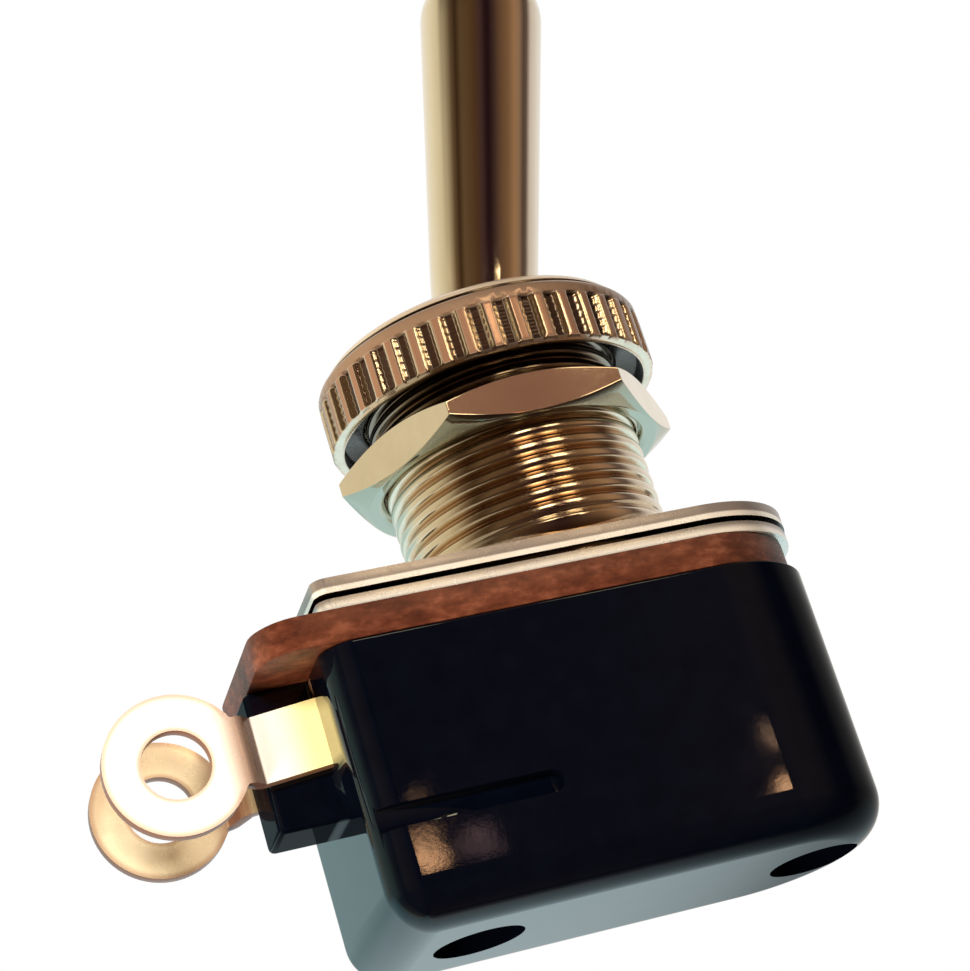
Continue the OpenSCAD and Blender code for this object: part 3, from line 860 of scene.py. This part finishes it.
# ------------------------------------------------------------------ floor, seen from above only
fl = make("floor", [(-400, -400, ZF), (400, -400, ZF), (400, 400, ZF), (-400, 400, ZF)], [(0, 1, 2, 3)], False)
k = Mat("floor_pale")
n = k.noise(60, 4, 0.6)
c = k.ramp(n, "Fac", [(0.3, (0.78, 0.78, 0.77)), (0.7, (0.82, 0.82, 0.81))])
k.link(c, "Color", k.b, "Base Color")
k.b.inputs["Roughness"].default_value = 0.75
g = k.add("ShaderNodeNewGeometry")
tr = k.add("ShaderNodeBsdfTransparent")
mx = k.add("ShaderNodeMixShader")
k.link(g, "Backfacing", mx, "Fac")
k.t.links.new(k.b.outputs["BSDF"], mx.inputs[1])
k.t.links.new(tr.outputs["BSDF"], mx.inputs[2])
k.link(mx, "Shader", k.out, "Surface")
fl.data.materials.append(k.m)
fl.visible_diffuse = False
fl.visible_glossy = False
fl.visible_transmission = False
fl.visible_shadow = False

# ------------------------------------------------------------------ light
w = bpy.data.worlds.new("studio")
bpy.context.scene.world = w
w.use_nodes = True
t = w.node_tree
t.nodes.clear()
out = t.nodes.new("ShaderNodeOutputWorld")
co = t.nodes.new("ShaderNodeTexCoord")
sep = t.nodes.new("ShaderNodeSeparateXYZ")
t.links.new(co.outputs["Generated"], sep.inputs[0])


def wmath(op, a, b=None, c=None):
    q = t.nodes.new("ShaderNodeMath")
    q.operation = op
    for i, x in enumerate((a, b, c)):
        if x is None:
            continue
        if isinstance(x, (int, float)):
            q.inputs[i].default_value = x
        else:
            t.links.new(x, q.inputs[i])
    return q.outputs[0]


def wramp(x, stops, interp="LINEAR"):
    r = t.nodes.new("ShaderNodeValToRGB")
    r.color_ramp.interpolation = interp
    e = r.color_ramp.elements
    while len(e) < len(stops):
        e.new(0.5)
    for q, (p, cc) in zip(e, stops):
        q.position = p
        q.color = (*cc, 1.0)
    t.links.new(x, r.inputs["Fac"])
    return r.outputs["Color"]


def wmix(fac, a, b, kind="MIX"):
    q = t.nodes.new("ShaderNodeMix")
    q.data_type = "RGBA"
    q.blend_type = kind
    if isinstance(fac, (int, float)):
        q.inputs[0].default_value = fac
    else:
        t.links.new(fac, q.inputs[0])
    for i, x in ((6, a), (7, b)):
        if isinstance(x, tuple):
            q.inputs[i].default_value = (*x, 1.0)
        else:
            t.links.new(x, q.inputs[i])
    return q.outputs[2]


X, Y, Z = sep.outputs[0], sep.outputs[1], sep.outputs[2]


def wstep(x, a, b, lo=0.0, hi=1.0):
    q = t.nodes.new("ShaderNodeMapRange")
    q.interpolation_type = "SMOOTHSTEP"
    for kk, v in (("From Min", a), ("From Max", b), ("To Min", lo), ("To Max", hi)):
        q.inputs[kk].default_value = v
    t.links.new(x, q.inputs["Value"])
    return q.outputs["Result"]


def around(deg):
    """place on the ring of directions: 0 at -X, 0.25 at -Y, 0.5 at +X, 0.75 at +Y"""
    return (deg + 180.0) / 360.0


turn = wmath("ADD", wmath("DIVIDE", wmath("ARCTAN2", Y, X), 2 * PI), 0.5)
room = wramp(turn, [(around(d), c) for d, c in (
    (-180, (0.66, 0.57, 0.38)), (-170, (0.42, 0.34, 0.21)), (-160, (0.17, 0.11, 0.06)), (-147, (0.05, 0.025, 0.01)), (-134, (0.13, 0.08, 0.04)),
    (-108, (0.09, 0.045, 0.02)), (-94, (0.06, 0.03, 0.03)), (-85, (0.02, 0.008, 0.01)), (-79, (0.02, 0.008, 0.01)),
    (-70, (0.055, 0.03, 0.025)), (-57, (0.15, 0.08, 0.045)), (-44, (0.21, 0.12, 0.06)), (-32, (0.35, 0.20, 0.11)),
    (-22, (0.30, 0.19, 0.12)), (-12, (0.10, 0.065, 0.055)), (-4, (0.14, 0.10, 0.08)), (7, (0.68, 0.62, 0.57)),
    (33, (0.87, 0.85, 0.81)), (80, (0.98, 0.96, 0.92)), (130, (0.92, 0.86, 0.66)), (179.9, (0.66, 0.57, 0.38)))])
# the room darkens overhead and below in front of the part
front = wstep(Y, 0.05, 0.25, 1.0, 0.0)
steep = wmath("MAXIMUM", wstep(Z, 0.62, 0.85), wstep(Z, -0.10, -0.45))
room = wmix(wmath("MULTIPLY", wmath("MULTIPLY", steep, front), 0.75), room, (0.035, 0.018, 0.012))
# cool light low on the left, behind the part
teal = wmath("MULTIPLY", wstep(turn, around(84), around(98)), wstep(turn, around(125), around(148), 1.0, 0.0))
room = wmix(wmath("MULTIPLY", wmath("MULTIPLY", teal, wstep(Z, 0.38, 0.47, 1.0, 0.0)), 0.9), room, (0.50, 0.74, 0.76))
# high behind the part
room = wmix(wmath("MULTIPLY", wstep(Z, 0.75, 0.97), 0.7), room, (0.20, 0.15, 0.11))
# cool bounce from below, behind the part
cool = wmath("MULTIPLY", wstep(Z, 0.02, -0.25), wstep(Y, 0.1, 0.5))
env = wmix(cool, room, (0.86, 1.08, 1.12))
lp = t.nodes.new("ShaderNodeLightPath")
env = wmix(lp.outputs["Is Camera Ray"], env, (1.0, 1.0, 1.0))
bg = t.nodes.new("ShaderNodeBackground")
bg.inputs["Strength"].default_value = 1.0
t.links.new(env, bg.inputs["Color"])
t.links.new(bg.outputs[0], out.inputs[0])


def lamp(name, loc, at, size, power, col, size_y=None):
    L = bpy.data.lights.new(name, "AREA")
    L.shape = "RECTANGLE"
    L.size = size * MM
    L.size_y = (size_y or size) * MM
    L.energy = power
    L.color = col
    o = bpy.data.objects.new(name, L)
    bpy.context.scene.collection.objects.link(o)
    o.location = Vector(loc) * MM
    o.rotation_euler = (Vector(at) - Vector(loc)).to_track_quat("-Z", "Y").to_euler()
    return o


# seen by matt surfaces only, so that it puts no spot on the gloss
key = lamp("key", (-150, -330, 120), (-10, 0, 0), 90, 2.3, (1.0, 0.93, 0.82))
key.visible_glossy = False
low = lamp("low", (-200, -100, -150), (-8, 0, -2), 90, 1.2, (1.0, 0.78, 0.55))
low.visible_glossy = False


def glossy_only(o):
    o.visible_camera = False
    o.visible_diffuse = False
    o.visible_transmission = False
    o.visible_shadow = False
    o.visible_volume_scatter = False
    return o


# bright scraps of the room, mirrored in the flat front of the case
def scrap(name, pts, col, power, scale, lo, hi):
    o = make(name, pts, [tuple(range(len(pts)))], False)
    k = Mat(name)
    k.t.nodes.remove(k.b)
    n = k.noise(scale, 4, 0.65)
    # thins out towards its outline, so its edges are ragged
    x, _, z = k.xyz()
    far = []
    for v, i in ((x, 0), (z, 2)):
        a, b = min(p[i] for p in pts) * MM, max(p[i] for p in pts) * MM
        d = k.math("SUBTRACT", k.math("MULTIPLY", v, 2 / (b - a)), (a + b) / (b - a))
        far.append(k.math("MAXIMUM", d, k.math("MULTIPLY", d, -1.0)))
    thin = k.step(k.math("MAXIMUM", *far), 0.35, 1.0, 0.0, 0.22)
    f = k.step(k.math("SUBTRACT", n.outputs["Fac"], thin), lo - 0.03, hi - 0.03)
    em = k.add("ShaderNodeEmission")
    em.inputs["Color"].default_value = (*col, 1.0)
    em.inputs["Strength"].default_value = power
    tr = k.add("ShaderNodeBsdfTransparent")
    mx = k.add("ShaderNodeMixShader")
    k.t.links.new(f, mx.inputs[0])
    k.t.links.new(tr.outputs[0], mx.inputs[1])
    k.t.links.new(em.outputs[0], mx.inputs[2])
    k.link(mx, "Shader", k.out, "Surface")
    o.data.materials.append(k.m)
    return glossy_only(o)


def card(name, pts, shade, axis=None, a=0.0, b=1.0, much=1.0):
    """mirrored card of one brightness; with an axis it fades in from a to b (mm)"""
    o = make(name, pts, [tuple(range(len(pts)))], False)
    k = Mat(name)
    k.t.nodes.remove(k.b)
    n = k.noise(90, 2, 0.5)
    c = k.ramp(n, "Fac", [(0.3, tuple(q * 0.92 for q in shade)), (0.7, shade)])
    em = k.add("ShaderNodeEmission")
    k.link(c, "Color", em, "Color")
    if axis is None:
        k.link(em, "Emission", k.out, "Surface")
    else:
        f = k.math("MULTIPLY", k.step(k.xyz()[axis], a * MM, b * MM), much)
        tr = k.add("ShaderNodeBsdfTransparent")
        mx = k.add("ShaderNodeMixShader")
        k.t.links.new(f, mx.inputs[0])
        k.t.links.new(tr.outputs[0], mx.inputs[1])
        k.t.links.new(em.outputs[0], mx.inputs[2])
        k.link(mx, "Shader", k.out, "Surface")
    o.data.materials.append(k.m)
    return glossy_only(o)


def upright(x0, x1, y, z0, z1):
    return [(x0, y, z0), (x1, y, z0), (x1, y, z1), (x0, y, z1)]


# two warm panes and the dim wall between them, mirrored in the thread and the nuts
for i, (z0, z1) in enumerate(((11.6, 15.8), (19.2, 25.2))):
    card("pane_left_%d" % i, upright(-4.6, 2.0, -34, z0, z1), (7.0, 5.5, 3.4))
    card("pane_right_%d" % i, upright(9.4, 17.2, -34, z0, z1), (5.6, 4.3, 2.5))
    card("wall_between_%d" % i, upright(2.0, 9.4, -34.1, z0, z1), (0.32, 0.17, 0.115))
card("wall_level", upright(-8.0, 20.0, -34, 15.8, 19.2), (0.26, 0.135, 0.09))
scrap("scrap_a", [(19.2, -118, 17.8), (23.0, -118, 17.3), (22.7, -118, 13.8), (20.5, -118, 11.9), (18.7, -118, 14.0)], (1.0, 0.44, 0.20), 17, 1300, 0.47, 0.56)
scrap("scrap_b", [(23.0, -118, 17.1), (28.4, -118, 16.6), (27.7, -118, 12.7), (22.4, -118, 12.9)], (0.8, 0.40, 0.38), 3.0, 1500, 0.46, 0.62)
scrap("scrap_c", [(52.2, -113, 14.2), (53.6, -113, 10.6), (51.0, -113, 10.8)], (1.0, 0.46, 0.22), 19, 1500, 0.42, 0.52)
scrap("scrap_d", [(19.8, -118, 20.1), (23.2, -118, 20.4), (22.9, -118, 19.7), (19.8, -118, 19.2)], (1.0, 0.45, 0.21), 11, 1300, 0.46, 0.58)
scrap("scrap_e", [(51.4, -113, 18.8), (52.4, -113, 18.4), (53.4, -113, 14.8), (52.4, -113, 14.9)], (1.0, 0.50, 0.28), 14, 1700, 0.54, 0.60)

# ------------------------------------------------------------------ camera
R = ((0.934669, -0.215434, -0.282811), (-0.174539, 0.414962, -0.892941), (0.309726, 0.883965, 0.350250))
cam = bpy.data.cameras.new("camera")
cam.sensor_fit = "HORIZONTAL"
cam.sensor_width = 36.0
cam.lens = 97.816
cam.clip_start = 0.005
cam.clip_end = 10.0
co_ = bpy.data.objects.new("camera", cam)
bpy.context.scene.collection.objects.link(co_)
m = Matrix.Identity(4)
for i in range(3):
    m[i][0], m[i][1], m[i][2] = R[0][i], -R[1][i], -R[2][i]
m[0][3], m[1][3], m[2][3] = -0.0391004, -0.1073607, -0.0374661
co_.matrix_world = m
bpy.context.scene.camera = co_
bpy.context.scene.view_settings.view_transform = "Standard"
bpy.context.scene.view_settings.look = "None"
